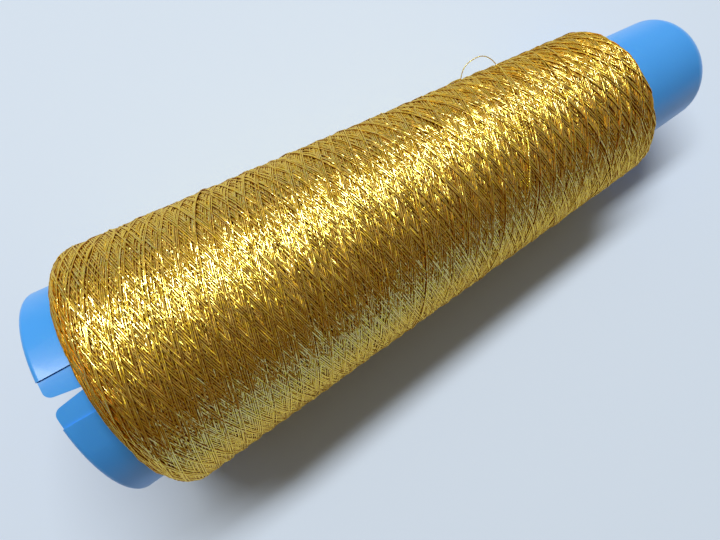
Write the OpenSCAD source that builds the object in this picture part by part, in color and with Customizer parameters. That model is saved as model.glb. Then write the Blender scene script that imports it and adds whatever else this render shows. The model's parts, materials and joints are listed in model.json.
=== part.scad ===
// Cone of metallic embroidery thread: a moulded plastic cone tube, the thread
// wound on it, and one slack turn that stands up from the winding as a loop.
// The tube stands on its base rim. The origin is the centre of that rim and +Z
// runs up the tube's axis to the nose. The thread-catch slot faces -Y.

/* [Cone tube] */
// Length of the tube from the base rim to the nose
tube_len = 139.6; // [120:0.1:160]
// Outside diameter at the base rim
base_d = 39.8; // [38:0.1:44]
// Diameter the taper would reach at the nose plane
nose_d = 21.8; // [20:0.1:26]
// Wall thickness of the tube
wall = 1.6; // [1.2:0.1:2]
// Outside rounding of the base rim
rim_round = 0.8; // [0.3:0.1:1.2]
// Axial semi-axis of the nose rounding, which the spindle bore cuts off
dome_h = 6; // [4:0.1:7]
// Nominal radial semi-axis of the nose rounding
dome_w = 10.2; // [8:0.1:11]
// Diameter of the spindle bore in the nose
bore_d = 9; // [7:0.1:9.6]
// Length of the cylindrical wall of the spindle bore
bore_len = 3; // [2:0.1:4]

/* [Thread catch] */
// Width of the slot at the base rim, without its lead-in corners
slot_w = 2.3; // [1.5:0.1:3.2]
// Height of the centre of the slot's rounded tip
slot_h = 5.8; // [4:0.1:8]
// Width of the slot at its tip
slot_tip = 0.24; // [0.16:0.02:0.6]
// Radius of the slot's two lead-in corners
slot_lead = 1.3; // [0.6:0.1:1.6]
// Width of the thinned panel that the slot runs through
panel_w = 7.8; // [6:0.1:10]
// Height of the thinned panel
panel_h = 10; // [8:0.5:14]
// Depth of the thinned panel below the tube's surface
panel_recess = 0.3; // [0.1:0.05:0.5]
// Set-back of the rim across the thinned panel
panel_rim = 0.35; // [0.1:0.05:0.6]

/* [Winding] */
// Height of the lowest point of the lower shoulder's ellipse
wind_bottom = 4.8; // [4:0.1:8]
// Height of the winding's upper edge
wind_top = 117.2; // [110:0.1:119]
// Outside radius of the winding at the top of the lower shoulder
wind_low_r = 23.74; // [22.5:0.01:25]
// Outside radius of the winding at the foot of the upper shoulder
wind_high_r = 16.35; // [15.5:0.01:18]
// Axial length of the lower shoulder
shoulder_len = 5.2; // [4:0.1:6]
// Radial depth of the lower shoulder's curve
shoulder_depth = 7.2; // [6:0.1:8]
// Radius of the upper shoulder
top_round = 1.3; // [1:0.1:3]
// Depth of the last layers, which form the outer winding
outer_depth = 1.5; // [0.8:0.1:2.2]
// Height of the first starter turn above the rim
starter_z = 7.5; // [7:0.5:10]
// Width of the band of starter turns
starter_w = 5; // [3:0.5:8]
// Radial depth of the starter turns
starter_depth = 0.45; // [0.3:0.05:0.8]

/* [Slack turn] */
// Diameter of the finished thread
thread_d = 0.32; // [0.28:0.01:0.4]
// Diameter of the yarn core inside the metallised film
core_d = 0.22; // [0.16:0.01:0.24]
// Azimuth of the loop's middle
loop_az = -152; // [-175:1:-150]
// Height of the loop's middle on the winding
loop_z = 91.6; // [60:0.1:100]
// Distance between the loop's two feet
loop_span = 7.94; // [6:0.01:10]
// Height of the loop over the line between its feet
loop_h = 2.65; // [1.5:0.05:3.5]
// Sideways lean, along the winding's surface, of the line between the feet
loop_lean = 1.8; // [0:0.1:35]
// Height of the feet's line over the winding
loop_lift = 0.45; // [0.4:0.01:0.6]
// Advance of the film's helix per turn round the core
film_pitch = 0.5; // [0.4:0.05:0.9]
// Azimuth that the slack strand covers after the loop
strand_sweep = 89; // [60:1:150]
// Height that the slack strand drops over its sweep
strand_drop = 12.5; // [10:0.5:24]

/* [Hidden] */
$fn = 96;
gap = 0.03;                                  // clearance between wound parts
taper = (base_d - nose_d) / 2 / tube_len;    // tube radius lost per mm of height
shoulder_z = wind_bottom + shoulder_len;     // top of the lower shoulder
wind_taper = (wind_low_r - wind_high_r) / (wind_top - top_round - shoulder_z);

// Outside radii at height z: the tube, the winding, and the inner winding
function tube_r(z) = base_d / 2 - taper * z;
function wind_r(z) = wind_low_r - wind_taper * (z - shoulder_z);
function mid_r(z) = wind_r(z) - outer_depth;

// Points [radius, height] of an elliptical arc
function ellipse_arc(centre, semi_r, semi_z, start, end, steps) =
    [for (i = [0:steps]) let (angle = start + (end - start) * i / steps)
        centre + [semi_r * cos(angle), semi_z * sin(angle)]];

// ---- cone tube ----
bore_chamfer = 0.4;
hollow_round = 2.5;      // corner radius at the hollow's ceiling
rim_chamfer_w = 0.35;    // chamfer inside the base rim
rim_chamfer_h = 0.4;
over = 1;                // overshoot of cutting shapes
slot_margin = 0.6;       // slot cutter's extra width beside each lead-in
slot_cut = 8;            // length of the slot cutter, centred on the rim's radius

module tube_body() {
    nose_r = bore_d / 2 + bore_chamfer;       // where the chamfer cuts the rounding off
    dome_end = acos(1 - (tube_r(tube_len - dome_h) - nose_r) / dome_w);
    dome_z = tube_len - dome_h * sin(dome_end);    // foot of the rounding
    dome_r = (tube_r(dome_z) - nose_r) / (1 - cos(dome_end));
    ceiling_z = tube_len - bore_len - bore_chamfer;
    outer = concat(
        ellipse_arc([tube_r(rim_round) - rim_round, rim_round],
            rim_round, rim_round, -90, 0, 8),
        ellipse_arc([tube_r(dome_z) - dome_r, dome_z], dome_r, dome_h, 0, dome_end, 18));
    inner = concat(
        [[bore_d / 2, tube_len - bore_chamfer], [bore_d / 2, ceiling_z]],
        ellipse_arc([tube_r(ceiling_z) - wall - hollow_round, ceiling_z - hollow_round],
            hollow_round, hollow_round, 90, 0, 10),
        [[tube_r(rim_chamfer_h) - wall, rim_chamfer_h],
         [tube_r(0) - wall + rim_chamfer_w, 0]]);
    rotate_extrude() polygon(concat(outer, inner));
}

// Outline of the V slot across the rim, with rounded lead-in corners
module slot_outline() {
    tip_r = slot_tip / 2;
    lean = atan((slot_w / 2 - tip_r) / slot_h);
    lead_z = panel_rim + slot_lead;           // centre height of the lead-in arcs
    lead_x = slot_w / 2 - (lead_z + slot_lead * sin(lean)) * tan(lean)
        - slot_lead * (cos(lean) - 1) + slot_lead;
    edge_x = slot_w / 2 + slot_lead + slot_margin;
    edge_z = panel_rim - 0.001;               // just under the arcs' lowest points
    right = ellipse_arc([lead_x, lead_z], slot_lead, slot_lead, 270, 180 + lean, 10);
    polygon(concat(
        [[edge_x, -over], [edge_x, edge_z]],
        right,
        ellipse_arc([0, slot_h], tip_r, tip_r, 0, 180, 8),
        [for (i = [10:-1:0]) [-right[i][0], right[i][1]]],
        [[-edge_x, edge_z], [-edge_x, -over]]));
}

// Block on the -Y side, as wide as the panel, from below the rim up to height top
module panel_block(top) {
    translate([-panel_w / 2, -base_d, -over]) cube([panel_w, base_d, top + over]);
}

// Skin removed from the tube's surface across the panel
module panel_cut() {
    intersection() {
        panel_block(panel_h);
        difference() {
            translate([0, 0, -over]) cylinder(r = base_d, h = panel_h + 2 * over);
            translate([0, 0, -2 * over])
                cylinder(r1 = tube_r(-2 * over) - panel_recess,
                    r2 = tube_r(panel_h + 2 * over) - panel_recess, h = panel_h + 4 * over);
        }
    }
}

module cone_tube() {
    color([0.22, 0.56, 0.92]) difference() {
        tube_body();
        panel_cut();
        panel_block(panel_rim);
        translate([0, -base_d / 2 + slot_cut / 2, 0]) rotate([90, 0, 0])
            linear_extrude(height = slot_cut) slot_outline();
    }
}

// ---- wound thread ----
starter_top = starter_z + starter_w;
room_z = 0.4;            // room above and below the starter turns
room_r = 0.06;           // room outside the starter turns
low_centre = [wind_low_r - shoulder_depth, shoulder_z];
// Angle on the lower shoulder's ellipse at a given radius
function shoulder_angle(radius) = acos((radius - low_centre[0]) / shoulder_depth);
// Where the shoulder crosses the boundary between the windings
mid_angle = shoulder_angle(mid_r(shoulder_z));

module starter_turns() {
    half = starter_depth / 2;
    bulge = half * 0.6;  // rise of the band's edges at half its depth
    color([0.62, 0.46, 0.10]) rotate_extrude() polygon([
        [tube_r(starter_z) + gap, starter_z],
        [tube_r(starter_z) + half, starter_z - bulge],
        [tube_r(starter_z) + starter_depth, starter_z + half],
        [tube_r(starter_top) + starter_depth, starter_top - half],
        [tube_r(starter_top) + half, starter_top + bulge],
        [tube_r(starter_top) + gap, starter_top]]);
}

module inner_profile() {
    curve_stop = 0.5;    // degrees left before the boundary
    bevel_w = 0.5;       // bevel of the upper outside edge
    bevel_h = 0.2;
    bottom_z = wind_bottom + 0.6;             // lower end of the face on the tube
    start = shoulder_angle(tube_r(wind_bottom) + gap);
    polygon(concat(
        ellipse_arc(low_centre, shoulder_depth, shoulder_len,
            -start, -mid_angle - curve_stop, 10),
        [[mid_r(shoulder_z), shoulder_z],
         [mid_r(wind_top - bevel_h), wind_top - bevel_h],
         [mid_r(wind_top) - bevel_w, wind_top],
         [tube_r(wind_top) + gap, wind_top],
         [tube_r(bottom_z) + gap, bottom_z]]));
}

module outer_profile() {
    curve_start = 1.5;   // degrees past the boundary
    top_sweep = 76;      // degrees covered by the upper shoulder
    inside_z = wind_top - 0.3;                // upper end of the inside face
    polygon(concat(
        ellipse_arc(low_centre, shoulder_depth, shoulder_len,
            -mid_angle + curve_start, 0, 14),
        ellipse_arc([wind_high_r - top_round, wind_top - top_round],
            top_round, top_round, 0, top_sweep, 10),
        [[mid_r(inside_z) + gap, inside_z], [mid_r(shoulder_z) + gap, shoulder_z]]));
}

// Section of the space that holds the starter turns
module starter_room() {
    low = starter_z - room_z;
    high = starter_top + room_z;
    reach = starter_depth + room_r;
    polygon([
        [tube_r(starter_z) - over, low], [tube_r(low) + reach, low],
        [tube_r(high) + reach, high], [tube_r(starter_top) - over, high]]);
}

module inner_winding() {
    color([0.68, 0.50, 0.12]) difference() {
        rotate_extrude() inner_profile();
        rotate_extrude() starter_room();
    }
}

module outer_winding() {
    color([0.80, 0.62, 0.18]) rotate_extrude() outer_profile();
}

// ---- slack turn ----
// Closed tube through the points of path. Each point has two unit vectors, out
// and across, that carry the section's semi-axes out_r and across_r.
module tube_along(path, out, across, out_r, across_r, sides) {
    last = len(path) - 1;
    points = [for (i = [0:last]) for (k = [0:sides - 1]) let (angle = 360 * k / sides)
        path[i] + out[i] * out_r * cos(angle) + across[i] * across_r * sin(angle)];
    walls = [for (i = [0:last - 1]) for (k = [0:sides - 1])
        let (a = i * sides + k, b = i * sides + (k + 1) % sides)
        each [[a, b, b + sides], [a, b + sides, a + sides]]];
    start_cap = [for (k = [sides - 1:-1:0]) k];
    end_cap = [for (k = [0:sides - 1]) last * sides + k];
    polyhedron(points = points, faces = concat([start_cap], walls, [end_cap]),
        convexity = 6);
}

function unit(v) = v / norm(v);

// The slack strand starts beside the loop's upper foot and runs down the winding.
// Its functions take the share s of its length, from 0 to 1.
strand_start_az = loop_az
    + asin(loop_span / 2 * sin(loop_lean) / wind_r(loop_z)) + 3.2;
strand_start_z = loop_z + loop_span / 2 * cos(loop_lean) - 0.15;
strand_gap = 0.06;       // clearance over the winding
raised_part = 0.06;      // share of the strand that slopes down from its start
raised_h = 0.12;         // extra height at the start
function strand_az(s) = strand_start_az + strand_sweep * s;
function strand_pt(s) = let (
        z = strand_start_z - strand_drop * s,
        r = wind_r(z) + thread_d / 2 + strand_gap + max(0, 1 - s / raised_part) * raised_h)
    [r * cos(strand_az(s)), r * sin(strand_az(s)), z];

module slack_strand() {
    n = 84;
    path = [for (i = [0:n]) strand_pt(i / n)];
    out = [for (i = [0:n]) let (az = strand_az(i / n)) [cos(az), sin(az), 0]];
    across = [for (i = [0:n])
        unit(cross(unit(path[min(n, i + 1)] - path[max(0, i - 1)]), out[i]))];
    color([0.86, 0.68, 0.22])
        tube_along(path, out, across, thread_d / 2, thread_d / 2, 8);
}

// The loop is an arc over the line between its feet
loop_r = (pow(loop_span / 2, 2) + loop_h * loop_h) / (2 * loop_h);
loop_half = asin(loop_span / 2 / loop_r);    // half the arc's angle

// Places an arc about the origin, in the XY plane and centred on +X, on the winding
module loop_place() {
    rotate([0, 0, loop_az]) translate([wind_r(loop_z) + loop_lift, 0, loop_z])
        rotate([0, -atan(wind_taper), 0]) rotate([-loop_lean, 0, 0])
            translate([loop_h - loop_r, 0, 0]) rotate([90, 0, 0]) children();
}

module loop_core() {
    color([0.78, 0.66, 0.38]) loop_place() rotate([0, 0, -loop_half])
        rotate_extrude(angle = 2 * loop_half, $fn = 96)
            translate([loop_r, 0]) circle(d = core_d, $fn = 24);
}

// Film wound round the core as a helix of diamond section
module loop_film() {
    bare_end = 3;        // degrees of bare core at each foot
    film_gap = 0.01;     // clearance between core and film
    sweep = 2 * loop_half - 2 * bare_end;
    turns = floor(loop_r * sweep * PI / 180 / film_pitch);
    turn_steps = 14;
    n = turns * turn_steps;
    film_t = (thread_d - core_d) / 2 - film_gap;
    helix_r = core_d / 2 + film_gap + film_t / 2;
    function arc_angle(i) = -loop_half + bare_end + sweep * i / n;
    function arc_dir(i) = [cos(arc_angle(i)), sin(arc_angle(i)), 0];
    out = [for (i = [0:n]) let (phase = 360 * i / turn_steps)
        arc_dir(i) * cos(phase) + [0, 0, sin(phase)]];
    path = [for (i = [0:n]) loop_r * arc_dir(i) + helix_r * out[i]];
    along = [for (i = [0:n]) [-sin(arc_angle(i)), cos(arc_angle(i)), 0]];
    color([0.92, 0.76, 0.30]) loop_place()
        tube_along(path, out, along, film_t / 2 * 0.92, film_pitch * 0.36, 4);
}

cone_tube();
starter_turns();
inner_winding();
outer_winding();
slack_strand();
loop_core();
loop_film();
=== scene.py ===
import json
import math
import bpy
import numpy as np
from mathutils import Matrix, Vector

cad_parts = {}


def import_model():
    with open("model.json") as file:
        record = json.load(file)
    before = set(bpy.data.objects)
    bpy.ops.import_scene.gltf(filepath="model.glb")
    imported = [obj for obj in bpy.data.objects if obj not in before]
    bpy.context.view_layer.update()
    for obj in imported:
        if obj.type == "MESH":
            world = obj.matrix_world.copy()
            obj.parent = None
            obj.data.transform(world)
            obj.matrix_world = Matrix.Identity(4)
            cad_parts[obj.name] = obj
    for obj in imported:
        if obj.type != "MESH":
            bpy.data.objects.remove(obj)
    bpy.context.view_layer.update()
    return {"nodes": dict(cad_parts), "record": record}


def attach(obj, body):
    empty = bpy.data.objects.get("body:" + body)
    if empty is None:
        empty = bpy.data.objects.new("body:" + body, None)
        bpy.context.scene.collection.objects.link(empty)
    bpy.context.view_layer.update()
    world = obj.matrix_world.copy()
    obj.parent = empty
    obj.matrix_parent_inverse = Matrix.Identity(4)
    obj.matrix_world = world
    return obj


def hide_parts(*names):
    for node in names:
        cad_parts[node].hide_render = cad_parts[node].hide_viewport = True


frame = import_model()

MM = 0.001
rng = np.random.default_rng(20240611)


# ---------------------------------------------------------------- helpers
def rings_of(node):
    """(radius, height) in mm of a turned CAD node's vertices."""
    co = np.array([v.co for v in frame["nodes"][node].data.vertices]) * 1000.0
    return np.stack([np.hypot(co[:, 0], co[:, 1]), co[:, 2]], 1)


def mesh_from(name, verts, faces_flat, totals, smooth=True):
    """A mesh object from vertex array (mm), flat face indices and face sizes."""
    me = bpy.data.meshes.new(name)
    me.vertices.add(len(verts))
    me.vertices.foreach_set("co", (np.asarray(verts, np.float32) * MM).ravel())
    me.loops.add(len(faces_flat))
    me.loops.foreach_set("vertex_index", np.asarray(faces_flat, np.int32))
    me.polygons.add(len(totals))
    starts = np.concatenate([[0], np.cumsum(totals)[:-1]]).astype(np.int32)
    me.polygons.foreach_set("loop_start", starts)
    me.polygons.foreach_set("loop_total", np.asarray(totals, np.int32))
    me.update(calc_edges=True)
    me.validate()
    if smooth:
        me.polygons.foreach_set("use_smooth", np.ones(len(totals), bool))
    ob = bpy.data.objects.new(name, me)
    bpy.context.scene.collection.objects.link(ob)
    return ob


def add_uv(ob, name, uv):
    layer = ob.data.uv_layers.new(name=name)
    layer.data.foreach_set("uv", np.asarray(uv, np.float32).ravel())
    return layer


def loop_verts(ob):
    idx = np.zeros(len(ob.data.loops), np.int32)
    ob.data.loops.foreach_get("vertex_index", idx)
    return idx


def bake_uv(ob, z0, z1, cols=1.0):
    """A cylindrical layout: azimuth across, height up."""
    idx = loop_verts(ob)
    co = np.zeros(len(ob.data.vertices) * 3, np.float32)
    ob.data.vertices.foreach_get("co", co)
    co = co.reshape(-1, 3)
    u = (np.arctan2(co[:, 1], co[:, 0]) / (2 * math.pi)) % 1.0
    v = np.clip((co[:, 2] - z0) / (z1 - z0), 0, 1)
    tot = np.zeros(len(ob.data.polygons), np.int32)
    ob.data.polygons.foreach_get("loop_total", tot)
    start = np.zeros(len(ob.data.polygons), np.int32)
    ob.data.polygons.foreach_get("loop_start", start)
    lu = u[idx]
    face = np.repeat(np.arange(len(tot)), tot)
    first = lu[start][face]
    lu = np.where(lu - first > 0.5, lu - 1.0, lu)
    lu = np.where(lu - first < -0.5, lu + 1.0, lu)
    uv = np.stack([np.clip(lu, 0, 1), v[idx]], 1)
    add_uv(ob, "OFBake", uv)


# ---------------------------------------------------------------- node-tree helper
class Nodes:
    def __init__(self, name):
        self.mat = bpy.data.materials.new(name)
        self.mat.use_nodes = True
        self.t = self.mat.node_tree
        self.t.nodes.clear()

    def n(self, kind, **kw):
        node = self.t.nodes.new(kind)
        inputs = kw.pop("ins", {})
        for k, v in kw.items():
            setattr(node, k, v)
        for k, v in inputs.items():
            if isinstance(v, bpy.types.NodeSocket):
                self.t.links.new(v, node.inputs[k])
            else:
                node.inputs[k].default_value = v
        return node

    def math(self, op, a, b=0.0, clamp=False):
        node = self.n("ShaderNodeMath", operation=op, use_clamp=clamp)
        for i, v in enumerate((a, b)):
            if isinstance(v, bpy.types.NodeSocket):
                self.t.links.new(v, node.inputs[i])
            else:
                node.inputs[i].default_value = v
        return node.outputs[0]

    def vmath(self, op, a, b=None, scale=None):
        node = self.n("ShaderNodeVectorMath", operation=op)
        for i, v in enumerate((a, b)):
            if v is None:
                continue
            if isinstance(v, bpy.types.NodeSocket):
                self.t.links.new(v, node.inputs[i])
            else:
                node.inputs[i].default_value = v
        if scale is not None:
            if isinstance(scale, bpy.types.NodeSocket):
                self.t.links.new(scale, node.inputs["Scale"])
            else:
                node.inputs["Scale"].default_value = scale
        return node.outputs[0]

    def mix(self, fac, a, b):
        node = self.n("ShaderNodeMix", data_type="RGBA")
        for sock, v in ((node.inputs[0], fac), (node.inputs[6], a), (node.inputs[7], b)):
            if isinstance(v, bpy.types.NodeSocket):
                self.t.links.new(v, sock)
            else:
                sock.default_value = v
        return node.outputs[2]

    def ramp(self, fac, stops):
        node = self.n("ShaderNodeValToRGB")
        cr = node.color_ramp
        while len(cr.elements) > 1:
            cr.elements.remove(cr.elements[-1])
        cr.elements[0].position, cr.elements[0].color = stops[0]
        for p, c in stops[1:]:
            e = cr.elements.new(p)
            e.color = c
        self.t.links.new(fac, node.inputs[0])
        return node.outputs[0]

    def out(self, shader):
        o = self.n("ShaderNodeOutputMaterial")
        self.t.links.new(shader, o.inputs["Surface"])
        return self.mat


# ---------------------------------------------------------------- the winding's outline
def envelope():
    """The winding's outline from its lower contact with the tube to its upper one:
    arc length, radius, height and outward normal, all in mm."""
    out = rings_of("outer_winding")
    inn = rings_of("inner_winding")
    r0, za = out[np.argmax(out[:, 0])]
    up = out[out[:, 1] > out[:, 1].max() - 3]
    r1, zt = up[np.argmax(up[:, 0])]
    both = np.concatenate([out, inn])
    low = both[(both[:, 1] <= za + 1e-3)]
    low = low[np.argsort(low[:, 1])]
    keep, run = [], 0.0
    for r, z in low:
        if r > run + 0.02 and (not keep or z > keep[-1][1] - 1e-4):
            keep.append((r, z))
            run = r
    top = both[(both[:, 1] >= zt - 1e-3)]
    z_end = top[:, 1].max()
    arc = out[out[:, 1] > zt + 1e-3]
    arc = arc[np.argsort(arc[:, 1])]
    tube_end = inn[np.abs(inn[:, 1] - z_end) < 1e-3][:, 0].min()
    tail, last = [(r1, zt)], r1
    for r, z in arc:
        if r < last - 0.02:
            tail.append((r, z))
            last = r
    rr, zz = tail[-1]
    tail += [(rr - 0.5, z_end - 0.01), (tube_end, z_end)]
    line = np.array(keep + [(r0, za)] * int(keep[-1][1] < za - 0.05) + tail)
    seg = np.hypot(*np.diff(line, axis=0).T)
    s = np.concatenate([[0], np.cumsum(seg)])
    n = int(s[-1] / 0.05)
    ss = np.linspace(0, s[-1], n)
    r = np.interp(ss, s, line[:, 0])
    z = np.interp(ss, s, line[:, 1])
    k = 17
    pad = lambda a: np.concatenate([2 * a[0] - a[k:0:-1], a, 2 * a[-1] - a[-2:-k - 2:-1]])
    ker = np.hanning(2 * k + 1)
    ker /= ker.sum()
    r = np.convolve(pad(r), ker, "valid")
    z = np.convolve(pad(z), ker, "valid")
    tr, tz = np.gradient(r), np.gradient(z)
    l = np.hypot(tr, tz)
    return ss, r, z, tz / l, -tr / l


S, PR, PZ, NR, NZ = envelope()
S_END = S[-1]
at = lambda arr, s: np.interp(s, S, arr)

# ---------------------------------------------------------------- laying the thread
A_W, A_H = 0.148, 0.114            # half width and half height of the thread, mm
SINK = 0.055                       # half height that a crossing adds once pulled tight
LEGS = 650
M = 13                             # double traverses before the lay falls beside itself
TURN = 2 * math.pi
LEG = TURN * (6 + 5 / M + 0.00066) / 2        # winding angle of one traverse
STEP = 0.0082
GS = 0.112                         # cell of the height map along the outline, mm
NT, NS = 1160, int(S_END / GS) + 1


def wind():
    """Lays one continuous thread to and fro along the cone, each turn resting on those
    under it, and returns its azimuth, outline position, lift and what stays in sight."""
    th = np.arange(0, LEGS * LEG, STEP)
    leg = np.minimum((th / LEG).astype(int), LEGS - 1)
    f = th / LEG - leg
    knot = np.arange(LEGS + 2)
    apex = np.where(knot % 2 == 0, -2.4, S_END - 0.9)
    s = apex[leg] * (1 - f) + apex[leg + 1] * f
    # slow drift shared by neighbouring turns, a little of its own, and a few strays
    drift = rng.normal(0, 0.13, (LEGS // 26 + 3, 9))
    gi, gj = leg / 26.0, f * 8.0
    i0, j0 = gi.astype(int), np.minimum(gj.astype(int), 7)
    fi, fj = gi - i0, gj - j0
    s = s + (drift[i0, j0] * (1 - fi) * (1 - fj) + drift[i0 + 1, j0] * fi * (1 - fj)
             + drift[i0, j0 + 1] * (1 - fi) * fj + drift[i0 + 1, j0 + 1] * fi * fj)
    own = rng.normal(0, 0.045, (LEGS, 13))
    gj = f * 12.0
    j0 = np.minimum(gj.astype(int), 11)
    fj = gj - j0
    s = s + own[leg, j0] * (1 - fj) + own[leg, j0 + 1] * fj
    stray = np.where(rng.random(LEGS) < 0.045, rng.normal(0, 1.4, LEGS), 0.0)
    s = s + stray[leg] * np.sin(math.pi * f) + rng.normal(0, 0.11, LEGS)[leg]
    # edge of each reversal, spread over the shoulders
    u = rng.random(LEGS + 2)
    edge_lo = -0.8 + 3.4 * u ** 1.3
    edge_hi = S_END + 0.3 - 2.8 * rng.random(LEGS + 2) ** 1.1
    near = np.where(f < 0.5, leg, leg + 1)
    even = near % 2 == 0
    soft = 2.5
    lo_side = edge_lo[near] + soft * np.logaddexp(0, (s - edge_lo[near]) / soft)
    soft = 0.55
    hi_side = edge_hi[near] - soft * np.logaddexp(0, (edge_hi[near] - s) / soft)
    s = np.where(even, lo_side, hi_side)
    k = 22
    ker = np.hanning(2 * k + 1)
    ker /= ker.sum()
    s = np.convolve(np.pad(s, k, mode="edge"), ker, "valid")
    s = np.clip(s, 0.30, S_END - 0.20)
    H = np.full((NT, NS), -0.25)
    lift = np.zeros(len(th))
    offs = [(i, j) for i in range(-2, 3) for j in range(-2, 3)]
    bounds = (np.arange(LEGS + 1) * LEG / STEP).astype(int)
    bounds[-1] = len(th)
    dth = TURN / NT

    def cells(a, b):
        t, ss = th[a:b], s[a:b]
        rr = at(PR, ss)
        ct = t / TURN * NT
        ci = np.floor(ct).astype(int)
        cs = ss / GS
        cj = np.clip(np.floor(cs).astype(int), 0, NS - 1)
        for i, j in offs:
            ii = (ci + i) % NT
            jj = np.clip(cj + j, 0, NS - 1)
            d2 = ((ci + i + 0.5 - ct) * dth * rr) ** 2 + ((cj + j + 0.5 - cs) * GS) ** 2
            ok = d2 < A_W * A_W
            yield ii, jj, np.sqrt(np.maximum(1 - d2 / (A_W * A_W), 0)), ok

    slide = np.linspace(-0.24, 0.24, 7)
    for q in range(LEGS):
        a, b = bounds[q], bounds[q + 1]
        # under tension the thread slides sideways into the nearest valley
        pick = np.arange(a, b, 5)
        ci = np.floor(th[pick] / TURN * NT).astype(int) % NT
        cs = (s[pick][None] + slide[:, None]) / GS
        cj = np.clip(np.round(cs).astype(int), 1, NS - 2)
        hh = (H[ci[None], cj - 1] + H[ci[None], cj] * 1.5 + H[ci[None], cj]) / 3.5
        nb = len(pick) // 20
        cost = hh[:, :nb * 20].reshape(len(slide), nb, 20).mean(2) + 0.25 * slide[:, None] ** 2
        best = slide[np.argmin(cost, 0)]
        best = np.convolve(np.pad(best, 1, mode="edge"), (0.22, 0.56, 0.22), "valid")
        mid = pick[:nb * 20].reshape(nb, 20).mean(1)
        fade = np.minimum(1, np.minimum(np.arange(b - a), np.arange(b - a)[::-1]) / 60.0)
        s[a:b] = np.clip(s[a:b] + np.interp(np.arange(a, b), mid, best) * fade, 0.30, S_END - 0.20)
        sup = np.full(b - a, -9.0)
        cand = []
        for ii, jj, cap, ok in cells(a, b):
            sup = np.maximum(sup, np.where(ok, H[ii, jj] + SINK * cap, -9))
            cand.append((ii, jj, cap, ok))
        w = 3
        p = np.pad(sup, w, mode="edge")
        dil = np.max([p[k2:k2 + b - a] for k2 in range(2 * w + 1)], 0)
        p = np.pad(dil, w, mode="edge")
        ero = np.min([p[k2:k2 + b - a] for k2 in range(2 * w + 1)], 0)
        w = 3
        p = np.pad(ero, w, mode="edge")
        c = np.mean([p[k2:k2 + b - a] for k2 in range(2 * w + 1)], 0)
        # tension pulls high spots down into the turns below
        c = np.maximum(c, sup - 0.045)
        lift[a:b] = c
        for ii, jj, cap, ok in cand:
            np.maximum.at(H, (ii[ok], jj[ok]), (c + SINK * cap)[ok])
    # what can still be seen from outside
    vis = np.zeros(len(th), bool)
    for q in range(max(0, LEGS - 540), LEGS):
        a, b = bounds[q], bounds[q + 1]
        c = lift[a:b]
        seen = np.zeros(b - a, bool)
        for ii, jj, cap, ok in cells(a, b):
            seen |= ok & (cap > 0.25) & (c + SINK * cap > H[ii, jj] - 0.035)
        vis[a:b] = seen
    w = 6
    p = np.pad(vis, w)
    vis = np.any([p[k2:k2 + len(vis)] for k2 in range(2 * w + 1)], 0)
    # settle every zone of the outline to the same outer surface
    zone = np.percentile(H, 82, axis=0)
    ker = np.hanning(15)
    ker /= ker.sum()
    zone = np.convolve(np.pad(zone, 7, mode="edge"), ker, "valid")
    shift = np.interp(s, (np.arange(NS) + 0.5) * GS, zone)
    # pressed flatter where the turns crowd together at the lower shoulder
    flat = 1 - 0.5 * np.exp(-(s / 7.0) ** 2)
    return th, s, (lift - shift) * flat - (A_H - SINK), vis, H - zone


TH, SS, LIFT, SEEN, HMAP = wind()
print("winding: relief p5 %.2f p50 %.2f p98 %.2f mm, in sight %.1f%%"
      % (*np.percentile(HMAP[:, 60:-40], (5, 50, 98)), 100 * SEEN.mean()))


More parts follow.
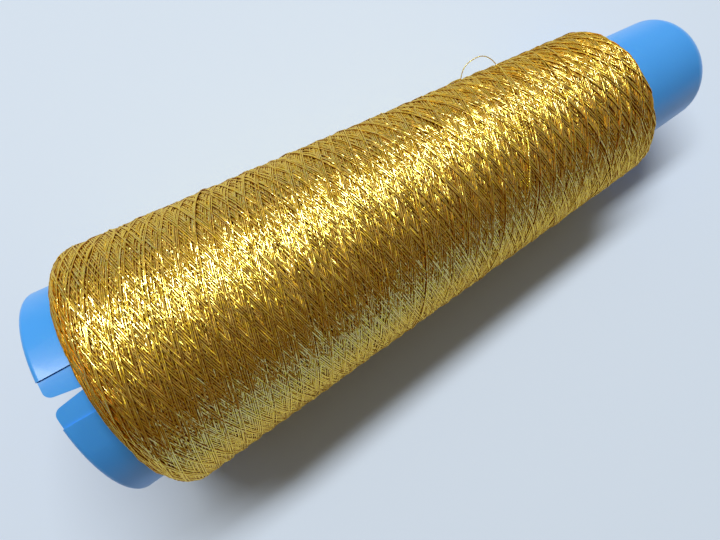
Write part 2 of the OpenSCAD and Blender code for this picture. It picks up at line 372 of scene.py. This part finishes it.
def thread_mesh(prefix, th, s, lift, visible, every, sides, per_piece, spread=None):
    """Closed tubes along the visible stretches of the thread, cut into pieces."""
    idx = np.arange(0, len(th), every)
    vis = visible[idx]
    grow = vis.copy()
    grow[1:] |= vis[:-1]
    grow[:-1] |= vis[1:]
    r = at(PR, s[idx])
    z = at(PZ, s[idx])
    nr = at(NR, s[idx])
    nz = at(NZ, s[idx])
    c, sn = np.cos(th[idx]), np.sin(th[idx])
    nrm = np.stack([nr * c, nr * sn, nz], 1)
    nrm /= np.linalg.norm(nrm, axis=1)[:, None]
    path = np.stack([r * c, r * sn, z], 1) + nrm * lift[idx][:, None]
    tan = np.gradient(path, axis=0)
    length = np.concatenate([[0], np.cumsum(np.linalg.norm(np.diff(path, axis=0), axis=1))])
    tan /= np.linalg.norm(tan, axis=1)[:, None]
    bin_ = np.cross(tan, nrm)
    bin_ /= np.linalg.norm(bin_, axis=1)[:, None]
    up = np.cross(bin_, tan)
    keep = np.where(grow)[0]
    runs = np.split(keep, np.where(np.diff(keep) > 1)[0] + 1)
    runs = [q for q in runs if len(q) >= 3]
    # regroup into pieces
    groups, cur, count = [], [], 0
    for q in runs:
        while len(q):
            room = per_piece - count
            if room < 4:
                groups.append(cur)
                cur, count = [], 0
                room = per_piece
            part = q[:room]
            cur.append(part)
            count += len(part)
            q = q[len(part) - 1:] if len(part) < len(q) else q[:0]
            if 0 < len(q) < 3:
                q = q[:0]
    if cur:
        groups.append(cur)
    ang = np.arange(sides) / sides * TURN
    out = []
    for gi, g in enumerate(groups):
        ids = np.concatenate(g)
        lens = np.array([len(q) for q in g])
        starts = np.concatenate([[0], np.cumsum(lens)[:-1]])
        n = len(ids)
        v = (path[ids][:, None] + bin_[ids][:, None] * (A_W * np.cos(ang))[None, :, None]
             + up[ids][:, None] * (A_H * np.sin(ang))[None, :, None]).reshape(-1, 3)
        last = np.zeros(n, bool)
        last[starts + lens - 1] = True
        a = np.where(~last)[0]
        k = np.arange(sides)
        k2 = (k + 1) % sides
        quads = np.stack([a[:, None] * sides + k, a[:, None] * sides + k2,
                          (a[:, None] + 1) * sides + k2, (a[:, None] + 1) * sides + k], -1).reshape(-1, 4)
        lu = length[ids]
        u0, u1 = lu[a], lu[a + 1]
        uvq = np.zeros((len(a), sides, 4, 2), np.float32)
        uvq[..., 0, 0] = u0[:, None]
        uvq[..., 1, 0] = u0[:, None]
        uvq[..., 2, 0] = u1[:, None]
        uvq[..., 3, 0] = u1[:, None]
        uvq[..., 0, 1] = k / sides
        uvq[..., 1, 1] = (k + 1) / sides
        uvq[..., 2, 1] = (k + 1) / sides
        uvq[..., 3, 1] = k / sides
        cap0 = starts[:, None] * sides + k[::-1][None]
        cap1 = (starts + lens - 1)[:, None] * sides + k[None]
        flat = np.concatenate([quads.ravel(), cap0.ravel(), cap1.ravel()])
        totals = np.concatenate([np.full(len(quads), 4), np.full(2 * len(g), sides)])
        ucap0 = np.repeat(lu[starts], sides)
        ucap1 = np.repeat(lu[starts + lens - 1], sides)
        uv = np.concatenate([uvq.reshape(-1, 2),
                             np.stack([ucap0, np.tile(k[::-1] / sides, len(g))], 1),
                             np.stack([ucap1, np.tile(k / sides, len(g))], 1)])
        ob = mesh_from("%s_%02d" % (prefix, gi + 1), v, flat, totals)
        add_uv(ob, "strand", uv)
        lay = ob.data.attributes.new("lay", "FLOAT_VECTOR", "POINT")
        lay.data.foreach_set("vector", np.repeat(nrm[ids], sides, axis=0).astype(np.float32).ravel())
        out.append(ob)
    return out


W_Z0, W_Z1 = 0.004, 0.119
strands = thread_mesh("wound_thread", TH, SS, LIFT, SEEN, 4, 6, 15500)
print("strand pieces", len(strands), "faces", sum(len(o.data.polygons) for o in strands))
for o in strands:
    bake_uv(o, W_Z0, W_Z1)


# ---------------------------------------------------------------- under layers
def lathe(name, prof, seg=180, closed=True):
    """A turned closed ring or solid from (radius, height) points in mm, in order."""
    prof = np.asarray(prof, float)
    n = len(prof)
    a = np.arange(seg) / seg * TURN
    v = np.stack([prof[None, :, 0] * np.cos(a)[:, None], prof[None, :, 0] * np.sin(a)[:, None],
                  np.broadcast_to(prof[None, :, 1], (seg, n))], -1).reshape(-1, 3)
    i = np.arange(seg)[:, None]
    j = np.arange(n if closed else n - 1)[None, :]
    j2 = (j + 1) % n
    i2 = (i + 1) % seg
    f = np.stack([i * n + j, i2 * n + j, i2 * n + j2, i * n + j2], -1).reshape(-1, 4)
    return mesh_from(name, v, f.ravel(), np.full(len(f), 4))


def under_layers():
    pick = np.linspace(0.35, S_END - 0.35, 240)
    d = -0.62
    r = at(PR, pick) + at(NR, pick) * d
    z = at(PZ, pick) + at(NZ, pick) * d
    inn = rings_of("inner_winding")
    z0, z1 = inn[:, 1].min(), inn[:, 1].max()
    base = inn[np.abs(inn[:, 1] - z1) < 1e-3][:, 0].min()
    foot = inn[inn[:, 0] > base + 2]
    r_lo = foot[np.argmin(foot[:, 1])][0]
    slope = (r_lo - base) / (z1 - z0)
    tube = lambda zz: base + slope * (z1 - zz) + 0.02
    outer = [(max(a, tube(b) + 0.1), b) for a, b in zip(r, z)]
    zi = np.linspace(outer[-1][1], outer[0][1], 60)
    inner = [(tube(q), q) for q in zi]
    return lathe("winding_under_layers", outer + inner, 220)


under = under_layers()
bake_uv(under, W_Z0, W_Z1)


# ---------------------------------------------------------------- the slack turn
def wrapped(name, path, up, r0=0.128, ridge=0.032, pitch=0.50, sides=12, u_start=0.0):
    """A single thread along a path (mm): yarn with the film wound round it as a raised lap."""
    path = np.asarray(path, float)
    seg = np.linalg.norm(np.diff(path, axis=0), axis=1)
    l = np.concatenate([[0], np.cumsum(seg)])
    n = int(l[-1] / 0.062)
    ll = np.linspace(0, l[-1], n)
    p = np.stack([np.interp(ll, l, path[:, k]) for k in range(3)], 1)
    up = np.stack([np.interp(ll, l, np.asarray(up)[:, k]) for k in range(3)], 1)
    tan = np.gradient(p, axis=0)
    tan /= np.linalg.norm(tan, axis=1)[:, None]
    b = np.cross(tan, up)
    b /= np.linalg.norm(b, axis=1)[:, None]
    nn = np.cross(b, tan)
    ang = np.arange(sides) / sides * TURN
    ph = ll[:, None] / pitch * TURN - ang[None]
    lap = np.clip(np.cos(ph) * 2.2, -1, 1)
    ply = 0.010 * np.cos(2 * (ll[:, None] / 1.3 * TURN + ang[None]))
    rr = r0 + ridge * lap * 0.5 + ply
    end = np.minimum(1, np.minimum(ll, ll[-1] - ll) / 0.16)
    rr = rr * np.sqrt(np.clip(1 - (1 - end[:, None]) ** 2, 0.02, 1))
    v = (p[:, None] + b[:, None] * (rr * np.cos(ang)[None])[..., None]
         + nn[:, None] * (rr * np.sin(ang)[None])[..., None]).reshape(-1, 3)
    i = np.arange(n - 1)[:, None]
    k = np.arange(sides)[None]
    k2 = (k + 1) % sides
    f = np.stack([i * sides + k, i * sides + k2, (i + 1) * sides + k2, (i + 1) * sides + k], -1).reshape(-1, 4)
    kk = np.arange(sides)
    flat = np.concatenate([f.ravel(), kk[::-1], (n - 1) * sides + kk])
    ob = mesh_from(name, v, flat, np.concatenate([np.full(len(f), 4), [sides, sides]]))
    uq = np.zeros((n - 1, sides, 4, 2), np.float32)
    uq[..., 0, 0] = uq[..., 1, 0] = ll[:-1, None]
    uq[..., 2, 0] = uq[..., 3, 0] = ll[1:, None]
    uq[..., 0, 1] = uq[..., 3, 1] = kk / sides
    uq[..., 1, 1] = uq[..., 2, 1] = (kk + 1) / sides
    caps = np.concatenate([np.stack([np.full(sides, ll[0]), kk[::-1] / sides], 1),
                           np.stack([np.full(sides, ll[-1]), kk / sides], 1)])
    uv = np.concatenate([uq.reshape(-1, 2), caps])
    add_uv(ob, "strand", uv + np.array([u_start, 0]))
    bake = uv.copy()
    rows = 24
    t = bake[:, 0] / (ll[-1] + 1e-6) * rows
    row = np.floor(np.clip(t, 0, rows - 1e-3))
    add_uv(ob, "OFBake", np.stack([np.clip(t - row, 0, 1), (row + 0.05 + 0.9 * bake[:, 1]) / rows], 1))
    lay = ob.data.attributes.new("lay", "FLOAT_VECTOR", "POINT")
    out = b[:, None] * np.cos(ang)[None, :, None] + nn[:, None] * np.sin(ang)[None, :, None]
    lay.data.foreach_set("vector", out.astype(np.float32).ravel())
    return ob


def wind_r(z):
    """Radius of the winding's outside at a height, above its lower shoulder."""
    i = np.argmax(PR)
    return np.interp(z, PZ[i:], PR[i:])


def slack_turn():
    joint = frame["record"]["behaviour"]["joints"][0]
    pos = np.array(joint["pos_m"]) * 1000
    ax = np.array(joint["axis"], float)
    ax /= np.linalg.norm(ax)
    co = np.array([v.co for v in frame["nodes"]["loop_core"].data.vertices]) * 1000
    d = co - pos
    along = d @ ax
    out = d.mean(0) - ax * along.mean()
    out /= np.linalg.norm(out)
    core = 0.11
    half = np.abs(along).max() - 0.02
    high = (d @ out).max() - core
    rad = (half ** 2 + high ** 2) / (2 * high)
    w = math.asin(min(1, half / rad))
    t = np.linspace(-w, w, 160)
    # the standing loop: an arc with the small kinks thread keeps from the winding
    lean = np.cross(out, ax)
    kink = 0.07 * np.sin(5.1 * (t + w)) * np.cos(t / w * math.pi / 2)
    side_k = 0.16 * np.sin(2.6 * (t + w) + 0.6) * np.cos(t / w * math.pi / 2)
    loop = (pos + np.outer(rad * np.sin(t), ax) + np.outer(rad * np.cos(t) - rad + high + kink, out)
            + np.outer(side_k, lean))
    ob = wrapped("loop_thread", loop, np.broadcast_to(lean, loop.shape), r0=0.088, ridge=0.022, u_start=3.0)
    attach(ob, "loose_loop")
    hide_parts("loop_core", "loop_film")
    parts = [ob]
    # where it lies on the winding: the CAD strand's own run
    sc = np.array([v.co for v in frame["nodes"]["slack_strand"].data.vertices]) * 1000
    az = np.arctan2(sc[:, 1], sc[:, 0])
    k, z0 = np.polyfit(az, sc[:, 2], 1)
    a0, a1 = az.min() + 0.004, az.max() - 0.004
    t = np.linspace(0, 1, 420)
    a = a0 + (a1 - a0) * t
    z = z0 + k * a + 0.10 * np.sin(9 * t + 1.0) * np.sin(math.pi * t) + 0.05 * np.sin(31 * t)
    h = 0.20 + 0.03 * np.sin(47 * t)
    h = h - 0.42 * np.clip((t - 0.93) / 0.07, 0, 1) ** 1.5
    lay = np.stack([(wind_r(z) + h) * np.cos(a), (wind_r(z) + h) * np.sin(a), z], 1)
    foot = loop[-1] if loop[-1][2] > loop[0][2] else loop[0]
    other = loop[0] if loop[-1][2] > loop[0][2] else loop[-1]
    # from the hinge line at the upper foot down onto the lay
    near = 16
    q = np.linspace(0, 1, 40)[:, None]
    p0, p3 = foot - out * 0.02, lay[near]
    tan3 = (lay[near + 1] - lay[near]) / np.linalg.norm(lay[near + 1] - lay[near])
    span = np.linalg.norm(p3 - p0)
    top_in = (loop[-1] - loop[-6]) if loop[-1][2] > loop[0][2] else (loop[0] - loop[5])
    top_in /= np.linalg.norm(top_in)
    p1, p2 = p0 + top_in * span * 0.30, p3 - tan3 * span * 0.45
    bez = p0 * (1 - q) ** 3 + 3 * p1 * q * (1 - q) ** 2 + 3 * p2 * q * q * (1 - q) + p3 * q ** 3
    rr = np.hypot(bez[:, 0], bez[:, 1])
    floor_r = wind_r(bez[:, 2]) + 0.17
    bez[:, :2] *= (np.maximum(rr, floor_r) / rr)[:, None]
    path = np.concatenate([bez[:-1], lay[near:]])
    up = np.stack([path[:, 0], path[:, 1], 0 * path[:, 0]], 1)
    up /= np.linalg.norm(up, axis=1)[:, None]
    ob = wrapped("slack_thread", path, up, u_start=40.0)
    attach(ob, "spool")
    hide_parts("slack_strand")
    parts.append(ob)
    # the lower foot goes back under its neighbours
    fa, fz = math.atan2(other[1], other[0]), other[2]
    tt = np.linspace(0, 1, 60)
    a = fa - 0.30 * tt ** 1.2
    z = fz - 0.9 * tt ** 1.3
    r_f = math.hypot(other[0], other[1])
    h = (r_f - float(wind_r(fz))) * (1 - tt) ** 2.2 + 0.14 * np.sin(math.pi * np.clip(tt, 0, 1)) - 0.24 * tt ** 2
    path = np.stack([(wind_r(z) + h) * np.cos(a), (wind_r(z) + h) * np.sin(a), z], 1)
    up = np.stack([np.cos(a), np.sin(a), 0 * a], 1)
    ob = wrapped("loop_anchor", path, up, u_start=90.0)
    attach(ob, "spool")
    parts.append(ob)
    return parts


slack = slack_turn()


# ---------------------------------------------------------------- materials
def gold_material():
    m = Nodes("gold_film_thread")
    uv = m.n("ShaderNodeUVMap", uv_map="strand").outputs[0]
    sep = m.n("ShaderNodeSeparateXYZ", ins={0: uv})
    u, v = sep.outputs[0], sep.outputs[1]
    # the film is wound round the yarn: each lap is one facet
    ln = m.n("ShaderNodeTexNoise", noise_dimensions="1D", ins={"W": m.math("MULTIPLY", u, 0.55), "Scale": 1.0, "Detail": 1.0})
    lap = m.math("ADD", m.math("ADD", m.math("DIVIDE", u, 0.46), v), m.math("MULTIPLY", ln.outputs[0], 2.2))
    cell = m.math("FLOOR", lap)
    side = m.math("FLOOR", m.math("MULTIPLY", v, 3.0))
    wn = m.n("ShaderNodeTexWhiteNoise", noise_dimensions="2D")
    comb = m.n("ShaderNodeCombineXYZ", ins={0: cell, 1: side})
    m.t.links.new(comb.outputs[0], wn.inputs["Vector"])
    rnd = m.vmath("SUBTRACT", wn.outputs["Color"], (0.5, 0.5, 0.5))
    geo = m.n("ShaderNodeNewGeometry")
    own = m.n("ShaderNodeAttribute", attribute_name="lay").outputs["Vector"]
    lay = m.n("ShaderNodeVectorTransform", vector_type="VECTOR", convert_from="OBJECT", convert_to="WORLD", ins={0: own}).outputs[0]
    flat = m.vmath("ADD", m.vmath("SCALE", geo.outputs["Normal"], scale=0.76), m.vmath("SCALE", lay, scale=0.24))
    # the film also rolls slowly over, so a length of thread catches the light as a whole
    roll = m.n("ShaderNodeTexNoise", noise_dimensions="1D", ins={"W": m.math("MULTIPLY", u, 0.26), "Scale": 1.0, "Detail": 1.0})
    slow = m.vmath("SUBTRACT", roll.outputs["Color"], (0.5, 0.5, 0.5))
    tilt = m.vmath("ADD", m.vmath("SCALE", rnd, scale=0.26), m.vmath("SCALE", slow, scale=0.85))
    nrm = m.vmath("NORMALIZE", m.vmath("ADD", flat, tilt))
    # how far a point faces out of the winding: the flanks between two turns are coloured dark amber as painted shade
    dn = m.n("ShaderNodeVectorMath", operation="DOT_PRODUCT", ins={0: geo.outputs["Normal"], 1: lay})
    crown = m.n("ShaderNodeMapRange", interpolation_type="SMOOTHSTEP",
                ins={"Value": dn.outputs["Value"], "From Min": 0.50, "From Max": 0.99}).outputs[0]
    # seen along the surface, the colour is painted a paler orange and the flanks' painted shade lifts, a painted
    # reflection; the film's sheen and glint turn warmer
    lw = m.n("ShaderNodeLayerWeight", ins={"Blend": 0.5, "Normal": lay})
    graze = m.n("ShaderNodeMapRange", interpolation_type="SMOOTHSTEP",
                ins={"Value": lw.outputs["Facing"], "From Min": 0.34, "From Max": 0.66}).outputs[0]
    # colour: long drifts of tone, and facets that are a little redder or paler
    drift = m.n("ShaderNodeTexNoise", noise_dimensions="1D", ins={"W": m.math("MULTIPLY", u, 0.012), "Scale": 1.0, "Detail": 2.0})
    tone = m.ramp(drift.outputs[0], [(0.30, (0.74, 0.40, 0.002, 1)), (0.5, (0.78, 0.46, 0.004, 1)), (0.72, (0.82, 0.53, 0.010, 1))])
    pale = m.math("MULTIPLY", m.math("ADD", m.math("MULTIPLY", wn.outputs["Value"], 0.26), 0.0), crown)
    col = m.mix(pale, tone, (0.95, 0.86, 0.34, 1))
    # painted reflection: seen along the surface the base colour turns a paler orange
    col = m.mix(m.math("MULTIPLY", graze, 0.9), col, (1.0, 0.64, 0.02, 1))
    # painted shade: the flanks between turns get a dark amber colour, a little lighter when seen along the surface
    flank_painted_shade = m.mix(m.math("MULTIPLY", graze, 0.25), (0.30, 0.065, 0.001, 1), (0.72, 0.36, 0.004, 1))
    col = m.mix(crown, flank_painted_shade, col)
    edge = m.math("FRACT", lap)
    seam = m.math("LESS_THAN", edge, 0.12)
    col = m.mix(m.math("MULTIPLY", seam, 0.4), col, (0.34, 0.14, 0.012, 1))
    rough = m.math("ADD", m.math("MULTIPLY", wn.outputs["Value"], 0.12), 0.45)
    b = m.n("ShaderNodeBsdfPrincipled", ins={"Base Color": col, "Metallic": 0.97, "Roughness": rough, "Normal": nrm})
    # the clear film over the metal: a pale sheen on most laps, a sharp white glint on the flattest
    sheen_col = m.mix(graze, (0.76, 0.94, 0.22, 1), (0.96, 0.82, 0.16, 1))
    glint_col = m.mix(graze, (0.86, 0.98, 0.88, 1), (1.0, 0.84, 0.40, 1))
    sheen = m.n("ShaderNodeBsdfAnisotropic", ins={"Color": sheen_col, "Roughness": 0.19, "Normal": nrm})
    glint = m.n("ShaderNodeBsdfAnisotropic", ins={"Color": glint_col, "Roughness": 0.11, "Normal": nrm})
    flat_lap = m.math("GREATER_THAN", wn.outputs["Value"], 0.40)
    film = m.n("ShaderNodeMixShader", ins={0: m.math("MULTIPLY", flat_lap, 0.42), 1: sheen.outputs[0], 2: glint.outputs[0]})
    both = m.n("ShaderNodeMixShader", ins={0: m.math("MULTIPLY", crown, 0.38), 1: b.outputs[0], 2: film.outputs[0]})
    return m.out(both.outputs[0])


def under_material():
    m = Nodes("gold_thread_under_painted_shade")
    tc = m.n("ShaderNodeTexCoord").outputs["Object"]
    w1 = m.n("ShaderNodeTexWave", wave_type="BANDS", bands_direction="Z", ins={"Vector": tc, "Scale": 800.0, "Distortion": 3.0, "Detail": 1.0, "Detail Scale": 40.0})
    bump = m.n("ShaderNodeBump", ins={"Height": w1.outputs[0], "Strength": 0.8, "Distance": 0.0002})
    # painted shade: the lower layers, the same gold thread, are coloured dark brown for their depth under the outer
    # turns; the bands are the strands
    col = m.mix(w1.outputs[0], (0.20, 0.085, 0.012, 1), (0.50, 0.28, 0.05, 1))
    b = m.n("ShaderNodeBsdfPrincipled", ins={"Base Color": col, "Metallic": 0.85, "Roughness": 0.45, "Normal": bump.outputs[0]})
    return m.out(b.outputs[0])


def blue_material():
    m = Nodes("blue_polypropylene")
    tc = m.n("ShaderNodeTexCoord").outputs["Object"]
    n1 = m.n("ShaderNodeTexNoise", ins={"Vector": tc, "Scale": 60.0, "Detail": 3.0, "Roughness": 0.5})
    n2 = m.n("ShaderNodeTexNoise", ins={"Vector": tc, "Scale": 1400.0, "Detail": 2.0, "Roughness": 0.6})
    col = m.mix(n1.outputs[0], (0.045, 0.30, 0.80, 1), (0.065, 0.35, 0.88, 1))
    bump1 = m.n("ShaderNodeBump", ins={"Height": n1.outputs[0], "Strength": 0.25, "Distance": 0.0006})
    bump2 = m.n("ShaderNodeBump", ins={"Height": n2.outputs[0], "Strength": 0.10, "Distance": 0.00008, "Normal": bump1.outputs[0]})
    rough = m.math("ADD", m.math("MULTIPLY", n1.outputs[0], 0.10), 0.26)
    b = m.n("ShaderNodeBsdfPrincipled", ins={"Base Color": col, "Roughness": rough, "IOR": 1.49, "Normal": bump2.outputs[0],
                                            "Subsurface Weight": 0.12, "Subsurface Radius": (0.4, 0.8, 1.4), "Subsurface Scale": 0.001})
    return m.out(b.outputs[0])


GOLD = gold_material()
UNDER = under_material()
BLUE = blue_material()
for o in strands:
    o.data.materials.append(GOLD)
    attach(o, "spool")
under.data.materials.append(UNDER)
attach(under, "spool")
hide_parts("outer_winding")
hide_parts("inner_winding", "starter_turns")


def paint(node, mat):
    o = frame["nodes"][node]
    if not o.material_slots:
        o.data.materials.append(mat)
    for sl in o.material_slots:
        sl.link = "OBJECT"
        sl.material = mat


paint("cone_tube", BLUE)
for o, slot in zip(slack, ("gold_film", "gold_thread", "gold_thread")):
    o.data.materials.append(GOLD)


# ---------------------------------------------------------------- floor, light, camera
UP = -Vector((0.19017, 0.97928, 0.06967)).normalized()     # the cone lies on its side for its portrait
i_c = np.argmin(np.abs(PZ - 60.0))
CONTACT = Vector((PR[i_c] * 0.19082, PR[i_c] * 0.98163, PZ[i_c])) * MM - UP * 0.00012
side = Vector((0, 0, 1)) - UP * UP.z
side.normalize()
across = UP.cross(side)


def floor():
    v = [CONTACT + side * a + across * b for a, b in ((-1.6, -1.6), (1.6, -1.6), (1.6, 1.6), (-1.6, 1.6))]
    me = bpy.data.meshes.new("floor")
    me.from_pydata([tuple(p) for p in v], [], [(0, 1, 2, 3)])
    ob = bpy.data.objects.new("floor", me)
    bpy.context.scene.collection.objects.link(ob)
    if me.polygons[0].normal.dot(UP) < 0:
        me.flip_normals()
    m = Nodes("pale_floor")
    tc = m.n("ShaderNodeTexCoord").outputs["Object"]
    n = m.n("ShaderNodeTexNoise", ins={"Vector": tc, "Scale": 3.0, "Detail": 2.0})
    col = m.mix(n.outputs[0], (0.58, 0.69, 0.84, 1), (0.61, 0.72, 0.87, 1))
    b = m.n("ShaderNodeBsdfPrincipled", ins={"Base Color": col, "Roughness": 0.55, "Specular IOR Level": 0.25})
    lp = m.n("ShaderNodeLightPath")
    geo = m.n("ShaderNodeNewGeometry")
    back = m.math("MULTIPLY", geo.outputs["Backfacing"], 1.0)
    t = m.n("ShaderNodeBsdfTransparent")
    mixn = m.n("ShaderNodeMixShader", ins={0: back, 1: b.outputs[0], 2: t.outputs[0]})
    me.materials.append(m.out(mixn.outputs[0]))
    return ob


floor()


def aim(ob, target, roll_axis=(0, 0, 1)):
    d = (Vector(target) - ob.location).normalized()
    z = -d
    x = Vector(roll_axis).cross(z)
    x.normalize()
    y = z.cross(x)
    ob.rotation_mode = "QUATERNION"
    ob.rotation_quaternion = Matrix((x, y, z)).transposed().to_quaternion()


def area(name, az, z, dist, w, h, power, col=(1, 1, 1)):
    """An area light at an azimuth round the cone's axis, facing it."""
    ld = bpy.data.lights.new(name, "AREA")
    ld.shape = "RECTANGLE"
    ld.size, ld.size_y = w, h
    ld.energy = power
    ld.color = col
    ob = bpy.data.objects.new(name, ld)
    a = math.radians(az)
    ob.location = (dist * math.cos(a), dist * math.sin(a), z)
    bpy.context.scene.collection.objects.link(ob)
    aim(ob, (0, 0, 0.07))
    return ob


def world():
    """Soft room light, brighter on the window's side and dim on the far side."""
    w = bpy.data.worlds.new("studio")
    bpy.context.scene.world = w
    w.use_nodes = True
    t = w.node_tree
    t.nodes.clear()
    o = t.nodes.new("ShaderNodeOutputWorld")
    bg = t.nodes.new("ShaderNodeBackground")
    tc = t.nodes.new("ShaderNodeTexCoord")
    dot = t.nodes.new("ShaderNodeVectorMath")
    dot.operation = "DOT_PRODUCT"
    dot.inputs[1].default_value = WINDOW_SIDE
    mr = t.nodes.new("ShaderNodeMapRange")
    mr.interpolation_type = "SMOOTHSTEP"
    mr.inputs["From Min"].default_value = -0.35
    mr.inputs["From Max"].default_value = 0.9
    mr.inputs["To Min"].default_value = 0.112
    mr.inputs["To Max"].default_value = 0.29
    t.links.new(tc.outputs["Generated"], dot.inputs[0])
    t.links.new(dot.outputs["Value"], mr.inputs["Value"])
    t.links.new(mr.outputs[0], bg.inputs[1])
    # daylight on the window's side, a warm dim room on the other
    tint = t.nodes.new("ShaderNodeMix")
    tint.data_type = "RGBA"
    tint.inputs[6].default_value = (1.0, 0.46, 0.18, 1)
    tint.inputs[7].default_value = (1.0, 0.95, 0.80, 1)
    span = t.nodes.new("ShaderNodeMapRange")
    span.inputs["From Min"].default_value = -0.25
    span.inputs["From Max"].default_value = 0.45
    t.links.new(dot.outputs["Value"], span.inputs["Value"])
    t.links.new(span.outputs[0], tint.inputs[0])
    t.links.new(tint.outputs[2], bg.inputs[0])
    # behind the floor's edge the camera sees the same pale backdrop
    back = t.nodes.new("ShaderNodeBackground")
    back.inputs[0].default_value = (0.66, 0.74, 0.84, 1)
    back.inputs[1].default_value = 1.0
    lp = t.nodes.new("ShaderNodeLightPath")
    pick = t.nodes.new("ShaderNodeMixShader")
    t.links.new(lp.outputs["Is Camera Ray"], pick.inputs[0])
    t.links.new(bg.outputs[0], pick.inputs[1])
    t.links.new(back.outputs[0], pick.inputs[2])
    t.links.new(pick.outputs[0], o.inputs[0])


WINDOW_SIDE = tuple((UP * 0.62 + Vector((-0.85, 0.05, 0.50)) * 0.85).normalized())
world()
area("key_window", -126.0, 0.12, 2.20, 0.36, 2.30, 53.0, (1.0, 0.98, 0.95))

cam_d = bpy.data.cameras.new("camera")
cam = bpy.data.objects.new("camera", cam_d)
bpy.context.scene.collection.objects.link(cam)
cam_d.sensor_width = 36.0
cam_d.lens = 26.0
right = Vector((0.502491, -0.158054, 0.850013))
upv = Vector((-0.864576, -0.087956, 0.494745))
backv = right.cross(upv)
cam.matrix_world = Matrix.Translation((0.005214, -0.101549, 0.034369)) @ Matrix((right, upv, backv)).transposed().to_4x4()
cam_d.clip_start = 0.005
bpy.context.scene.camera = cam
bpy.context.scene.view_settings.view_transform = "Standard"
